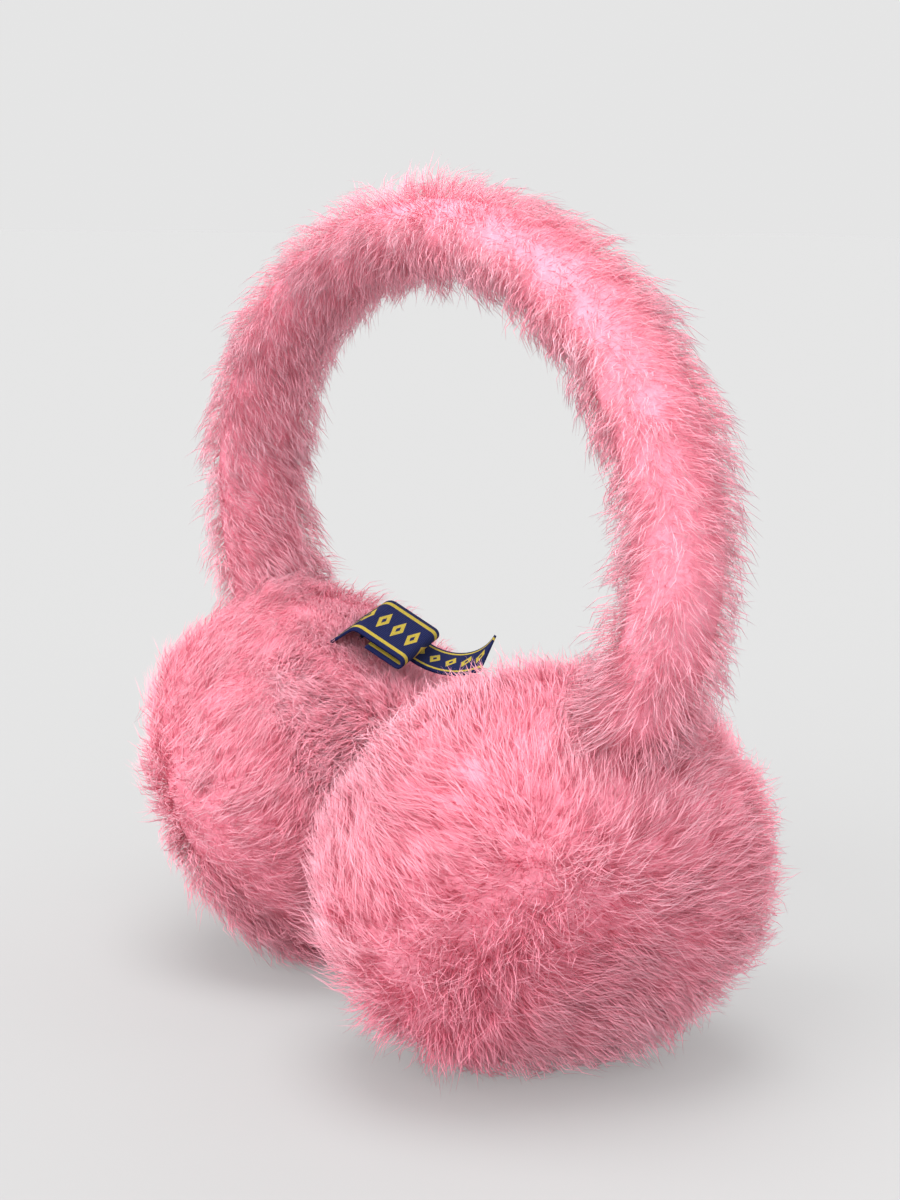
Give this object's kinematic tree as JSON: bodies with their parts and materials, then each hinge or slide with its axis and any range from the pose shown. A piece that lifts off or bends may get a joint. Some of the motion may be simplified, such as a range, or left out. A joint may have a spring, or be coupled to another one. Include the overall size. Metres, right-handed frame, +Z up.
{
  "type": "fur earmuffs",
  "caption": "Pink faux-fur earmuffs with a fur-covered headband and thick round fur ear cups, standing on the cups, with small navy woven labels.",
  "frame": {"origin": "centre of the footprint's bounding box, on the surface that the cups stand on", "axes": "+Z up, from the surface to the crown of the headband; +X towards the wearer's right cup; +Y towards the back of the wearer's head"},
  "size_m": [0.1902, 0.1068, 0.1917],
  "materials": {
    "fur": "deep soft pile",
    "woven_label": "satin weave"
  },
  "bodies": {
    "root": {"headband": "fur", "right_ear_cup": "fur", "left_ear_cup": "fur", "folded_label": "woven_label", "strip_label": "woven_label"}
  },
  "joints": []
}
